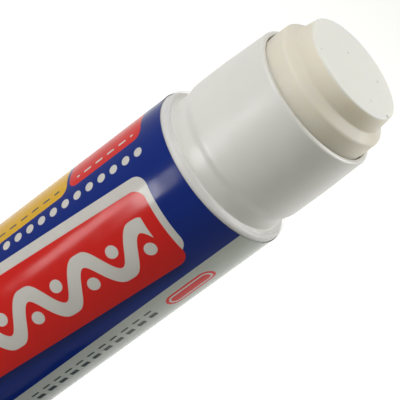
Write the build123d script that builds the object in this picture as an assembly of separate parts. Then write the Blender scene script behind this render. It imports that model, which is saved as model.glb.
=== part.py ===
from build123d import *
import os

# A twist-up glue stick, taken apart into its seven mouldings, in millimetres.
# The stick stands upright on its knob, +Z is up along its axis, and the origin is the centre of
# the knob's flat base. The glue is wound a little way out of the neck, and the cap stands beside it.

# Whole stick
stick_radius = 13.5
shoulder_height = 72.0

# Label film, whose bare margin curls in over the shoulder
film_thickness = 0.12
film_gap = 0.03
film_foot_above_barrel_foot = 1.2
film_curl_below_shoulder = 0.4
film_curl_radius = 1.2
film_curl_angle = 50.0
film_lip_length = 0.85

# Barrel
shoulder_width = 1.6
shoulder_round = 0.8
skirt_wall = 1.75
skirt_depth = 1.7
floor_thickness = 1.6

# Neck of the barrel, where the cap sits
neck_height = 18.3
neck_groove_height = 2.7
neck_groove_depth = 0.45
neck_ledge = 0.3
neck_lead_height = 1.2
neck_lead_draft = 0.12
neck_land_height = 6.0
neck_draft = 0.25
neck_wall = 0.85
mouth_round = 0.3
mouth_bevel = 0.15

# Guide grooves in the bore, and the carrier's keys that slide in them
guide_count = 4
guide_depth = 0.4
guide_width = 2.0
guide_end_below_mouth = 9.5
key_side_gap = 0.2
key_depth_gap = 0.12
key_height = 3.0

# Screw of the spindle
thread_lead = 5.0
thread_root_radius = 2.2
thread_depth = 0.8
thread_root_width = 1.9
thread_crest_width = 1.0
thread_gap = 0.15
thread_bite = 0.25
thread_start_gap = 0.6
spindle_end_below_mouth = 8.3
spindle_point = 1.2
spindle_point_taper = 1.0

# Bearing of the spindle in the barrel's floor
shaft_radius = 3.04
bearing_gap = 0.06
flange_overlap = 1.8
flange_thickness = 1.4
flange_gap = 0.15

# Drive stub and split clip at the foot of the spindle
stub_across = 4.2
stub_gap = 0.05
clip_overhang = 0.4
clip_height = 1.8
clip_point_inset = 0.7
clip_seat_gap = 0.05
clip_slot_width = 0.8
clip_slot_depth = 5.0

# Carrier, and the turns that have wound it up from its lowest place
turns_wound_out = 1.5
carrier_rest_gap = 0.25
carrier_height = 9.0
carrier_gap = 0.2
carrier_wall = 0.9
carrier_floor = 1.2
nut_wall = 1.45
nut_height = 5.6
rib_count = 4
rib_width = 1.0
rib_height = 2.2

# Glue column and the reduced tip that the cap's seal ring leaves on it
glue_gap = 0.15
glue_top_above_mouth = 7.5
glue_step_above_mouth = 3.2
glue_step_rise = 1.3
glue_step_width = 1.5
glue_step_round = 1.0
glue_tip_draft = 0.45
glue_tip_round = 0.25
spindle_hole_gap = 0.4
spindle_hole_end_gap = 0.8

# Knob
knob_height = 11.0
knob_gap = 0.3
knob_inset = 0.1
knob_wall = 1.5
knob_floor = 1.4
knob_edge_round = 0.8
knob_rim_round = 0.3
hub_wall = 2.1
hub_gap = 0.3
clip_chamber_gap = 0.4
clip_chamber_height = 3.4
web_count = 6
web_thickness = 1.0
web_drop_at_wall = 1.5
web_rise_above_rim = 1.2
web_gap_in_skirt = 0.3

# Cap, standing mouth down beside the stick
cap_height = 23.0
cap_inset = 0.1
cap_neck_gap = 0.08
cap_crown_gap = 0.13
cap_crown_height = 4.8
cap_roof = 1.7
cap_edge_round = 1.6
cap_mouth_round = 0.3
cap_rim_width = 2.4
cap_dish_depth = 0.35
snap_bead_depth = 0.22
snap_bead_height = 1.9
snap_bead_width = 1.2
snap_bead_round = 0.4
seal_ring_gap_in_bore = 0.25
seal_ring_gap_round_tip = 0.05
cap_stand_gap = 11.1

# Grip flutes, alike on the knob and on the cap
flute_count = 36
flute_radius = 0.8
flute_depth = 0.28
flute_margin = 1.5
cap_flute_length = 9.0

# Cuts and hidden roots run past the faces that they cross by this much
overrun = 1.0

# Radii that follow from the sizes above
barrel_radius = stick_radius - film_thickness - film_gap
skirt_bore_radius = barrel_radius - skirt_wall
neck_groove_radius = barrel_radius - shoulder_width
neck_foot_radius = neck_groove_radius + neck_groove_depth
neck_ledge_radius = neck_foot_radius - neck_lead_draft
neck_mouth_radius = neck_foot_radius - neck_draft
bore_radius = neck_mouth_radius - neck_wall
guide_radius = bore_radius + guide_depth
carrier_radius = bore_radius - carrier_gap
cup_radius = carrier_radius - carrier_wall
thread_crest_radius = thread_root_radius + thread_depth
nut_radius = thread_crest_radius + thread_gap + nut_wall
glue_radius = bore_radius - glue_gap
tip_foot_radius = glue_radius - glue_step_width
tip_top_radius = tip_foot_radius - glue_tip_draft
clip_radius = stub_across / 2 + clip_overhang
clip_chamber_radius = clip_radius + clip_chamber_gap
knob_radius = stick_radius - knob_inset
cap_radius = stick_radius - cap_inset
cap_bore_radius = neck_foot_radius + cap_neck_gap
cap_crown_radius = neck_mouth_radius + cap_crown_gap
cap_stand_distance = stick_radius + cap_stand_gap + cap_radius

# Heights that follow from the sizes above
barrel_foot = knob_height + knob_gap
floor_bottom = barrel_foot + skirt_depth
floor_top = floor_bottom + floor_thickness
mouth_height = shoulder_height + neck_height
flange_foot = floor_top + flange_gap
flange_top = flange_foot + flange_thickness
thread_start = flange_top + thread_start_gap
spindle_top = mouth_height - spindle_end_below_mouth
travel_wound_out = turns_wound_out * thread_lead
carrier_foot = flange_top + carrier_rest_gap + travel_wound_out
cup_floor_top = carrier_foot + carrier_floor
cup_rim = carrier_foot + carrier_height
nut_top = carrier_foot + nut_height
glue_step = mouth_height + glue_step_above_mouth
glue_top = mouth_height + glue_top_above_mouth
hub_top = floor_bottom - hub_gap
clip_ledge = knob_floor + clip_chamber_height
clip_top = clip_ledge - clip_seat_gap
clip_foot = clip_top - clip_height


def turned(outline):
    """A solid turned about the stick's axis from a closed outline of (radius, height)."""
    return revolve(Plane.XZ * make_face(outline.edges()), Axis.Z)


def cylinder(radius, foot, top):
    """A plain cylinder on the stick's axis between two heights."""
    return extrude(Plane.XY.offset(foot) * Circle(radius), top - foot)


def cone(foot_radius, top_radius, foot, top):
    """A truncated cone on the stick's axis between two heights."""
    return Pos(0, 0, foot) * Cone(
        foot_radius, top_radius, top - foot, align=(Align.CENTER, Align.CENTER, Align.MIN)
    )


def square_bar(across, foot, top):
    """A square bar on the stick's axis between two heights."""
    return extrude(Plane.XY.offset(foot) * Rectangle(across, across), top - foot)


def round_the_axis(count, inner, outer, width, foot, top):
    """Like radial blocks, evenly spaced, each from the inner to the outer radius."""
    block = Box(outer - inner, width, top - foot, align=(Align.MIN, Align.CENTER, Align.MIN))
    return [place * Pos(inner, 0, foot) * block for place in PolarLocations(0, count)]


def flutes(outer, foot, top):
    """The round-bottomed cuts of the grip in a wall of this outer radius."""
    centre = outer + flute_radius - flute_depth
    cut = cylinder(flute_radius, foot, top)
    return [place * cut for place in PolarLocations(centre, flute_count)]


def screw_ridge(top, gap):
    """The helical ridge of the left-hand screw, grown all round by a gap."""
    slope = (thread_root_width - thread_crest_width) / (thread_crest_radius - thread_root_radius)
    inner = thread_root_radius - thread_bite
    outer = thread_crest_radius + gap
    half_inner = (thread_crest_width + slope * (thread_crest_radius - inner)) / 2 + gap
    half_outer = (thread_crest_width - slope * gap) / 2 + gap
    section = make_face(
        Polyline(
            (inner, -half_inner),
            (outer, -half_outer),
            (outer, half_outer),
            (inner, half_inner),
            close=True,
        )
    )
    path = Helix(thread_lead, top - thread_start, inner, lefthand=True)
    return Pos(0, 0, thread_start) * sweep(Plane.XZ * section, path=path, is_frenet=True)


def make_barrel():
    """White tube with its floor, rounded shoulder, snap groove, neck and guide grooves.

    Above the groove the neck leads out to the land, which is straight where the cap fits closely,
    and from there it tapers a little to the mouth.
    """
    groove_top = shoulder_height + neck_groove_height
    ledge_top = groove_top + neck_ledge
    land_foot = ledge_top + neck_lead_height
    corners = {
        (skirt_bore_radius, barrel_foot): 0,
        (barrel_radius, barrel_foot): 0,
        (barrel_radius, shoulder_height): shoulder_round,
        (neck_groove_radius, shoulder_height): 0,
        (neck_groove_radius, groove_top): 0,
        (neck_ledge_radius, ledge_top): 0,
        (neck_foot_radius, land_foot): 0,
        (neck_foot_radius, land_foot + neck_land_height): 0,
        (neck_mouth_radius, mouth_height): mouth_round,
        (bore_radius + mouth_bevel, mouth_height): 0,
        (bore_radius, mouth_height - mouth_bevel): 0,
        (bore_radius, floor_top): 0,
        (shaft_radius + bearing_gap, floor_top): 0,
        (shaft_radius + bearing_gap, floor_bottom): 0,
        (skirt_bore_radius, floor_bottom): 0,
    }
    tube = turned(FilletPolyline(*corners.keys(), radius=list(corners.values()), close=True))
    grooves = round_the_axis(
        guide_count,
        bore_radius - overrun,
        guide_radius,
        guide_width,
        floor_top,
        mouth_height - guide_end_below_mouth,
    )
    return tube - grooves


def make_label_sleeve():
    """Film sleeve round the barrel, whose bare upper margin curls in over the shoulder."""
    inner = barrel_radius + film_gap
    outer = inner + film_thickness
    foot = barrel_foot + film_foot_above_barrel_foot
    top = shoulder_height - film_curl_below_shoulder
    edges = []
    for radius, curl in ((outer, film_curl_radius), (inner, film_curl_radius - film_thickness)):
        side = Line((radius, foot), (radius, top))
        bend = JernArc(side @ 1, (0, 1), curl, film_curl_angle)
        lip = Line(bend @ 1, bend @ 1 + (bend % 1) * film_lip_length)
        edges += [side, bend, lip]
    ends = [Line((inner, foot), (outer, foot)), Line(edges[2] @ 1, edges[5] @ 1)]
    return turned(Curve() + edges + ends)


def make_spindle():
    """Left-hand screw with its bearing flange, shaft, square stub and split clip."""
    thread_end = spindle_top - spindle_point
    core = cylinder(thread_root_radius, flange_top, thread_end)
    point = cone(thread_root_radius, thread_root_radius - spindle_point_taper, thread_end, spindle_top)
    screw = core + screw_ridge(thread_end - thread_root_width / 2, 0) + point
    flange = cylinder(shaft_radius + flange_overlap, flange_foot, flange_top)
    shaft = cylinder(shaft_radius, hub_top, flange_foot)
    stub = square_bar(stub_across, clip_top, hub_top)
    clip = cone(clip_radius - clip_point_inset, clip_radius, clip_foot, clip_top)
    slot = Pos(0, 0, clip_foot) * Box(
        clip_slot_width,
        clip_radius * 2,
        clip_slot_depth,
        align=(Align.CENTER, Align.CENTER, Align.MIN),
    )
    return screw + flange + shaft + stub + clip - slot


def make_carrier():
    """Cup with the nut in its floor, ribs that grip the glue, and guide keys."""
    cup = turned(
        Polyline(
            (0, carrier_foot),
            (carrier_radius, carrier_foot),
            (carrier_radius, cup_rim),
            (cup_radius, cup_rim),
            (cup_radius, cup_floor_top),
            (nut_radius, cup_floor_top),
            (nut_radius, nut_top),
            (0, nut_top),
            close=True,
        )
    )
    ribs = round_the_axis(
        rib_count,
        nut_radius - nut_wall / 2,
        cup_radius + carrier_wall / 2,
        rib_width,
        cup_floor_top - carrier_floor / 2,
        cup_floor_top + rib_height,
    )
    keys = round_the_axis(
        guide_count,
        carrier_radius - carrier_wall / 2,
        guide_radius - key_depth_gap,
        guide_width - key_side_gap * 2,
        carrier_foot,
        carrier_foot + key_height,
    )
    nut_thread = screw_ridge(nut_top + thread_lead, thread_gap)
    nut_bore = cylinder(thread_root_radius + thread_gap, carrier_foot - overrun, nut_top + overrun)
    return cup + ribs + keys - nut_thread - nut_bore


def make_glue(carrier):
    """Glue column cast into the carrier's cup, with its stepped tip and the spindle's hole."""
    step_top = glue_step + glue_step_rise
    corners = {
        (0, cup_floor_top): 0,
        (cup_radius, cup_floor_top): 0,
        (cup_radius, cup_rim): 0,
        (glue_radius, cup_rim): 0,
        (glue_radius, glue_step): glue_step_round,
        (tip_foot_radius, step_top): glue_step_round,
        (tip_top_radius, glue_top): glue_tip_round,
        (0, glue_top): 0,
    }
    column = turned(FilletPolyline(*corners.keys(), radius=list(corners.values()), close=True))
    hole_end = spindle_top + travel_wound_out + spindle_hole_end_gap
    hole = cylinder(thread_crest_radius + spindle_hole_gap, carrier_foot, hole_end)
    return column - hole - carrier


def make_knob():
    """Fluted cup of the twist base, with its webs, hub, drive socket and clip chamber."""
    inner = knob_radius - knob_wall
    hub_radius = clip_chamber_radius + hub_wall
    corners = {
        (0, 0): 0,
        (knob_radius, 0): knob_edge_round,
        (knob_radius, knob_height): knob_rim_round,
        (inner, knob_height): 0,
        (inner, knob_floor): 0,
        (hub_radius, knob_floor): 0,
        (hub_radius, hub_top): 0,
        (0, hub_top): 0,
    }
    cup = turned(FilletPolyline(*corners.keys(), radius=list(corners.values()), close=True))
    half_floor = knob_floor / 2
    low_webs = round_the_axis(
        web_count,
        hub_radius - hub_wall / 2,
        inner + knob_wall / 2,
        web_thickness,
        half_floor,
        knob_height - web_drop_at_wall,
    )
    high_webs = round_the_axis(
        web_count,
        hub_radius - hub_wall / 2,
        skirt_bore_radius - web_gap_in_skirt,
        web_thickness,
        half_floor,
        knob_height + web_rise_above_rim,
    )
    socket = square_bar(stub_across + stub_gap * 2, knob_floor, hub_top + overrun)
    chamber = cylinder(clip_chamber_radius, knob_floor, clip_ledge)
    grip = flutes(knob_radius, flute_margin, knob_height - flute_margin)
    return cup + low_webs + high_webs - socket - chamber - grip


def make_cap():
    """Push-on cap, standing mouth down, with its snap bead, seal ring and grip.

    The bore steps in near the roof, where it centres the mouth of the neck.
    """
    roof_under = cap_height - cap_roof
    bead_half = snap_bead_width / 2
    crown_foot = roof_under - cap_crown_height
    ring_foot = roof_under - (glue_top_above_mouth - glue_step_above_mouth)
    ring_radius = bore_radius - seal_ring_gap_in_bore
    dish_radius = cap_radius - cap_rim_width
    corners = {
        (cap_radius, 0): cap_mouth_round,
        (cap_radius, cap_height): cap_edge_round,
        (dish_radius, cap_height): 0,
        (dish_radius - cap_dish_depth, cap_height - cap_dish_depth): 0,
        (0, cap_height - cap_dish_depth): 0,
        (0, roof_under): 0,
        (tip_top_radius + seal_ring_gap_round_tip, roof_under): 0,
        (tip_foot_radius + seal_ring_gap_round_tip, ring_foot + glue_step_rise): 0,
        (ring_radius, ring_foot): 0,
        (ring_radius, roof_under): 0,
        (cap_crown_radius, roof_under): 0,
        (cap_crown_radius, crown_foot): 0,
        (cap_bore_radius, crown_foot): 0,
        (cap_bore_radius, snap_bead_height + bead_half): 0,
        (cap_bore_radius - snap_bead_depth, snap_bead_height): snap_bead_round,
        (cap_bore_radius, snap_bead_height - bead_half): 0,
        (cap_bore_radius, 0): 0,
    }
    shell = turned(FilletPolyline(*corners.keys(), radius=list(corners.values()), close=True))
    grip = flutes(cap_radius, flute_margin, flute_margin + cap_flute_length)
    return Pos(cap_stand_distance, 0, 0) * (shell - grip)


carrier = make_carrier()
parts = {
    "barrel": make_barrel(),
    "label_sleeve": make_label_sleeve(),
    "spindle": make_spindle(),
    "carrier": carrier,
    "glue": make_glue(carrier),
    "knob": make_knob(),
    "cap": make_cap(),
}
os.makedirs("parts", exist_ok=True)
for name, part in parts.items():
    export_step(part, "parts/" + name + ".step")
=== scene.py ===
import math
from contextlib import contextmanager
from functools import cached_property

import bmesh
import bpy
from mathutils import Matrix, Vector


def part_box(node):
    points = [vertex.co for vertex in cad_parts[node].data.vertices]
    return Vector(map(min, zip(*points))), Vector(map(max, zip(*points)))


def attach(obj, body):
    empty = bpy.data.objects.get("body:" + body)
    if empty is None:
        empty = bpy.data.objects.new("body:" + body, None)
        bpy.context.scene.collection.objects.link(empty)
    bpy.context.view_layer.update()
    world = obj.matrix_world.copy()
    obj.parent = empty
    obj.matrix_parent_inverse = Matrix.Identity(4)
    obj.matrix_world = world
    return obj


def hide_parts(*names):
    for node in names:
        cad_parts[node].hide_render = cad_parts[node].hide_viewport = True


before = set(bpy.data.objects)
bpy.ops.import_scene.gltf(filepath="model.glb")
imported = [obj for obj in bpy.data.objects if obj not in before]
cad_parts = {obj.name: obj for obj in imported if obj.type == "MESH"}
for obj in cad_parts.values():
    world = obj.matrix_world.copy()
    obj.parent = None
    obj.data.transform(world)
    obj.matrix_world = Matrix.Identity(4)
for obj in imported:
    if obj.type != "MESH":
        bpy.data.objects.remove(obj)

bl_info = {
    "name": "Twist-up glue stick",
    "version": (1, 0, 0),
    "blender": (4, 5, 0),
    "location": "3D View > Sidebar > Glue stick",
    "description": "Models and finishes the visible pieces of a twist-up glue stick",
    "category": "Object",
}

# Settings are written in millimetres and kept in metres, into which MM turns them.
MM = 0.001
# Places closer than this are the same place.
TOUCH = 0.002 * MM
# Faces that meet at less than this angle are shaded as one smooth surface.
SMOOTH_BELOW = math.radians(35)
# The faces of a round corner turn by about this angle from one to the next.
ROUND_STEP = math.radians(11)
# A finished piece may stand this far out of the box of its CAD node.
SPARE = 0.5 * MM
# Before a pit is pressed, the faces within this many pit widths are cut this many times.
PIT_REACH = 1.6
PIT_CUTS = 4
# Most of a noise lies in this range.
NOISE_SPAN = (0.3, 0.7)
# Places of the small pits in the tip's face, in millimetres from the axis.
TIP_PITS = ((-5.1, -6.2), (3.65, 4.55), (-2.4, 1.9), (5.2, -2.6))

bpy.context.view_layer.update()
barrel_low, barrel_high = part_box("barrel")
film_low, film_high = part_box("label_sleeve")
glue_low, glue_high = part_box("glue")
_, knob_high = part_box("knob")
cap_low, cap_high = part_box("cap")


# Kinds of setting

def length(name, description, millimetres):
    """A length, which is stored in metres and shown with its unit."""
    return bpy.props.FloatProperty(
        name=name, description=description, default=millimetres * MM, precision=5, unit="LENGTH"
    )


def lengths(name, description, *millimetres):
    """Several lengths that belong together, such as a width and a height."""
    return bpy.props.FloatVectorProperty(
        name=name,
        description=description,
        default=[value * MM for value in millimetres],
        size=len(millimetres),
        precision=5,
        unit="LENGTH",
    )


def edges(name, description, left, right, foot, top):
    """The four edges of a printed panel: two across the film, and two along it."""
    description += ": left and right edge across the film, lower and upper along it"
    return lengths(name, description, left, right, foot, top)


def place(name, description, x, y, z):
    """A point in the stick's own frame, in millimetres."""
    at = (x * MM, y * MM, z * MM)
    return bpy.props.FloatVectorProperty(
        name=name, description=description, default=at, precision=5, subtype="TRANSLATION"
    )


def camera_length(name, description, millimetres):
    """A length in the camera, which Blender keeps in millimetres."""
    return bpy.props.FloatProperty(
        name=name, description=description, default=millimetres, unit="CAMERA"
    )


def angle(name, description, degrees):
    """An angle, which is stored in radians and shown in degrees."""
    return bpy.props.FloatProperty(
        name=name, description=description, default=math.radians(degrees), subtype="ANGLE"
    )


def amount(name, description, value):
    """A plain number, such as a share, a roughness or a lamp's power."""
    return bpy.props.FloatProperty(name=name, description=description, default=value, precision=4)


def amounts(name, description, *values):
    """Several plain numbers that belong together, such as the ends of a range."""
    return bpy.props.FloatVectorProperty(
        name=name, description=description, default=values, size=len(values), precision=4
    )


def gloss(name, description, to_a_metre, lowest, highest):
    """Patches in a gloss: how many to a metre, and by which shares the roughness changes."""
    description += ": how many to a metre, lowest and highest share"
    return amounts(name, description, to_a_metre, lowest, highest)


def count(name, description, value):
    """A whole number of like things."""
    return bpy.props.IntProperty(name=name, description=description, default=value)


def colour(name, description, red, green, blue):
    """A colour in linear light."""
    rgb = (red, green, blue)
    return bpy.props.FloatVectorProperty(
        name=name, description=description, default=rgb, subtype="COLOR", min=0, max=1
    )


# Settings

class BarrelSizes(bpy.types.PropertyGroup):
    """Sizes of the white barrel with its neck."""

    steps: count("Steps", "Faces round the barrel", 208)
    radius: length("Radius", "Outer radius under the film", barrel_high.x / MM)
    foot: length("Foot", "Height of the lower edge", barrel_low.z / MM)
    mouth: length("Mouth", "Height of the neck's open end", barrel_high.z / MM)
    shoulder: length("Shoulder", "Height of the shoulder under the neck", 72.0)
    shoulder_round: length("Shoulder round", "Round of the shoulder's outer edge", 0.8)
    groove_radius: length("Groove radius", "Radius in the snap groove", 11.75)
    groove_height: length("Groove height", "Height of the snap groove", 2.7)
    ledge: length("Ledge", "Height of the slope out of the groove", 1.0)
    ledge_radius: length("Ledge radius", "Radius on top of that slope", 12.08)
    lead: length("Lead", "Height over which the neck leads out to its land", 0.5)
    ledge_round: length("Ledge round", "Soft round of the ledge's two edges", 2.0)
    lead_round: length("Lead round", "Large round between the lead and the land", 3.0)
    neck_radius: length("Neck radius", "Radius of the neck's straight land", 12.2)
    land: length("Land", "Height of the neck's straight land", 6.0)
    mouth_radius: length("Mouth radius", "Outer radius at the mouth", 11.95)
    mouth_round: length("Mouth round", "Round of the mouth's outer edge", 0.5)
    mouth_bevel: length("Mouth bevel", "Bevel of the mouth's inner edge", 0.15)
    bore_radius: length("Bore radius", "Radius of the bore", 11.1)
    floor_foot: length("Floor foot", "Height of the underside of the floor", 13.0)
    floor_top: length("Floor top", "Height of the floor inside", 14.6)
    skirt_radius: length("Skirt radius", "Inner radius of the skirt under the floor", 11.6)
    shaft_radius: length("Shaft radius", "Radius of the spindle's bearing in the floor", 3.1)
    edge_round: length("Edge round", "Small round of every other moulded edge", 0.1)
    groove_count: count("Guide grooves", "Grooves in the bore that guide the carrier", 4)
    guide_width: length("Guide width", "Width of a guide groove", 2.0)
    guide_depth: length("Guide depth", "Depth of a guide groove", 0.4)
    guide_top: length("Guide top", "Height where the guide grooves end", 80.8)


class FilmSizes(bpy.types.PropertyGroup):
    """Sizes of the printed film sleeve with its bare, curled margin."""

    steps: count("Steps", "Faces round the film", 240)
    radius: length("Radius", "Outer radius of the film", film_high.x / MM)
    foot: length("Foot", "Height of the film's lower edge", film_low.z / MM)
    thickness: length("Thickness", "Thickness of the film", 0.12)
    print_top: length("Print top", "Height where the print ends and the bare margin starts", 71.1)
    straight_top: length("Straight top", "Height where the film starts to curl in", 71.6)
    curl_radius: length("Curl radius", "Radius of the curl over the shoulder", 1.2)
    curl_turn: angle("Curl turn", "Angle that the curl turns through", 50)
    lip: length("Lip", "Straight length after the curl", 0.35)
    pucker: length("Pucker", "How far the margin wavers in and out", 0.07)
    pucker_size: length("Pucker size", "Length of one waver of the margin", 9.0)


class GlueSizes(bpy.types.PropertyGroup):
    """Sizes of the glue column and the reduced tip that the cap's seal ring leaves on it."""

    steps: count("Steps", "Faces round the glue", 224)
    radius: length("Radius", "Radius of the column", glue_high.x / MM)
    foot: length("Foot", "Height where the glue starts in the carrier's cup", glue_low.z / MM)
    top: length("Top", "Height of the flat tip", glue_high.z / MM - 0.03)
    cup_radius: length("Cup radius", "Inner radius of the carrier's cup", 10.0)
    cup_rim: length("Cup rim", "Height of the cup's rim", 32.9)
    nut_radius: length("Nut radius", "Outer radius of the carrier's nut", 4.6)
    nut_top: length("Nut top", "Height of the nut's top", 29.5)
    hole_radius: length("Hole radius", "Radius of the spindle's hole", 3.4)
    hole_top: length("Hole top", "Height where the spindle's hole ends", 90.3)
    step_foot: length("Step foot", "Height where the column starts to step in", 93.5)
    step_rise: length("Step rise", "Height of the step", 1.3)
    step_width: length("Step width", "How far the step leads in", 1.5)
    step_round: length("Step round", "Round of the step's outer edge", 0.7)
    tip_foot_round: length(
        "Tip foot round", "Round of the corner between the step and the tip", 0.4
    )
    tip_draft: length("Tip draft", "How far the tip narrows above the step", 0.45)
    tip_round: length("Tip round", "Round of the tip's edge", 0.25)
    waver: length("Waver", "Unevenness of the wax surface", 0.05)
    waver_size: length("Waver size", "Length of one uneven patch", 3.0)
    pit_depth: length("Pit depth", "Depth of a pit in the tip", 0.22)
    pit_width: length("Pit width", "Width of a pit in the tip", 0.5)
    nick: place("Nick", "Place of the nick in the tip's edge", 8.6, -0.9, 97.7)
    nick_depth: length("Nick depth", "Depth of the nick", 0.4)
    nick_width: length("Nick width", "Width of the nick", 0.9)
    rings: count("Rings", "Rings of faces in the flat tip", 18)


class GripSizes(bpy.types.PropertyGroup):
    """Sizes of the flutes, alike on the knob and on the cap."""

    flutes: count("Flutes", "Number of flutes", 36)
    steps_per_flute: count("Steps per flute", "Faces from one flute to the next", 12)
    radius: length("Radius", "Radius of a flute's round bottom", 0.8)
    depth: length("Depth", "Depth of a flute", 0.28)
    margin: length("Margin", "Plain wall between a flute and the end of the wall", 1.5)
    run_out: length("Run-out", "Height over which a flute ends", 0.3)


class KnobSizes(bpy.types.PropertyGroup):
    """Sizes of the knob with its hub, webs and drive socket."""

    radius: length("Radius", "Outer radius", knob_high.x / MM)
    rim: length("Rim", "Height of the rim", 11.0)
    wall: length("Wall", "Thickness of the wall", 1.5)
    floor: length("Floor", "Thickness of the floor", 1.4)
    edge_round: length("Edge round", "Round of the foot's edge", 0.8)
    rim_round: length("Rim round", "Round of the rim's edges", 0.3)
    inner_round: length("Inner round", "Round where walls meet the floor", 0.3)
    hub_radius: length("Hub radius", "Radius of the hub", 5.0)
    hub_top: length("Hub top", "Height of the hub", 12.7)
    chamber_radius: length("Chamber radius", "Radius of the clip's chamber", 2.9)
    chamber_top: length("Chamber top", "Height of the ledge that the clip holds", 4.8)
    chamber_steps: count("Chamber steps", "Faces round that chamber", 64)
    socket: length("Socket", "Width of the square drive socket", 4.3)
    webs: count("Webs", "Webs between the hub and the wall", 6)
    web_thickness: length("Web thickness", "Thickness of a web", 1.0)
    web_top: length("Web top", "Height of the webs by the hub", 12.2)
    web_step: length("Web step", "Radius where the webs step down under the barrel's skirt", 11.3)
    web_low: length("Web low", "Height of the webs by the wall", 9.5)
    web_round: length("Web round", "Round of the webs' corners", 0.25)


class CapSizes(bpy.types.PropertyGroup):
    """Sizes of the push-on cap, which stands mouth down."""

    radius: length("Radius", "Outer radius", (cap_high.x - cap_low.x) / 2 / MM)
    axis: length(
        "Axis", "Distance of the cap's axis from the stick's", (cap_high.x + cap_low.x) / 2 / MM
    )
    height: length("Height", "Height of the cap", cap_high.z / MM)
    roof: length("Roof", "Thickness of the closed end", 1.7)
    edge_round: length("Edge round", "Round of the closed end's edge", 1.6)
    mouth_round: length("Mouth round", "Round of the mouth's edge", 0.3)
    rim_width: length("Rim width", "Width of the raised rim round the dished end", 2.4)
    dish: length("Dish", "Depth of the dish in the closed end", 0.35)
    dish_round: length("Dish round", "Round of the dish's edges", 0.3)
    bore_radius: length("Bore radius", "Radius of the bore", 12.28)
    crown_radius: length("Crown radius", "Radius of the bore near the closed end", 12.08)
    crown_height: length("Crown height", "Height of the narrower bore", 4.8)
    bead_depth: length("Bead depth", "How far the snap bead stands in", 0.22)
    bead_height: length("Bead height", "Height of the snap bead", 1.9)
    bead_width: length("Bead width", "Width of the snap bead", 1.2)
    bead_round: length("Bead round", "Round of the snap bead", 0.4)
    ring_radius: length("Ring radius", "Outer radius of the seal ring", 10.85)
    ring_foot: length("Ring foot", "Height of the seal ring's free edge", 17.0)
    ring_inner: length("Ring inner", "Inner radius of the ring at its free edge", 9.5)
    ring_rise: length("Ring rise", "Height of the slope inside the ring's free edge", 1.3)
    ring_root: length("Ring root", "Inner radius of the ring at the closed end", 9.05)
    flute_length: length("Flute length", "Length of the flutes at the cap's mouth", 9.0)


class PrintLayout(bpy.types.PropertyGroup):
    """Layout of the film's print: across from the camera's side, along from the shoulder."""

    blur: length("Blur", "Softness of a printed edge", 0.07)
    lean: angle("Lean", "Lean of the large panel", 4.5)
    panel: edges("Panel", "Large red panel", -6.85, 7.0, -54.5, -8.2)
    panel_corner: length("Panel corner", "Corner radius of the large panel", 2.2)
    under_across: length("White across", "Shift of the white panel under the red one", -1.8)
    under_along: length("White along", "Shift of the white panel under the red one", 1.3)
    shade: length("Shade", "Shift and softness of the printed shade under the panel", 0.9)
    shade_depth: amount("Shade depth", "Share of the blue that the shade keeps", 0.45)
    back_start: length(
        "Back start", "Edge of the back, where the large panel is printed again", -22.5
    )
    back_shift: length("Back shift", "Distance from the second large panel to the first", 32.5)
    strip: edges("Strip", "White strip", 10.9, 37.0, -70.0, 10.0)
    red_tab: edges("Red tab", "Small red tab", -20.5, -12.8, -19.7, -4.9)
    yellow_tab: edges("Yellow tab", "Yellow tab", -20.5, -12.6, -41.0, -20.3)
    tab_corner: length("Tab corner", "Corner radius of the tabs", 1.6)
    box: edges("Box", "Outlined box on the white strip", 20.5, 33.5, -54.0, -9.2)
    rule_pitch: length("Rule pitch", "Distance between the ruled lines in the box", 3.2)
    rule_width: length("Rule width", "Width of a ruled line", 0.2333)
    pill: edges("Pill", "Pill on the white strip", 12.7, 16.3, -18.6, -9.2)
    outline: length("Outline", "Thickness of the outlines", 0.35)
    wave_middle: length("Wave middle", "Middle of the wavy band across the panel", 0.6)
    wave_swing: length("Wave swing", "How far the wavy band swings", 2.7)
    wave_length: length("Wave length", "Length of one swing to and fro", 11.0)
    wave_width: length("Wave width", "Width of the wavy band", 2.3)
    dot_radius: length("Dot radius", "Radius of the dots in the bends of the band", 1.05)
    bead_line: length("Bead line", "Place of the line of small beads across the film", -10.7)
    bead_pitch: length("Bead pitch", "Distance between the small beads", 2.5)
    bead_radius: length("Bead radius", "Radius of a small bead", 0.75)
    beads: count("Beads", "Beads in their line", 12)
    stitch_pitch: length("Stitch pitch", "Distance between two stitches", 2.4)
    stitch_length: length("Stitch length", "Length of a stitch", 1.5)
    stitch_width: length("Stitch width", "Width of a stitch", 0.4)
    pill_stitch: length(
        "Pill stitch", "Distance from the pill's far edge to the broad stitches", 1.7
    )
    broad_stitch: amount("Broad stitch", "Width of a broad stitch, in stitch widths", 2.6)


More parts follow.
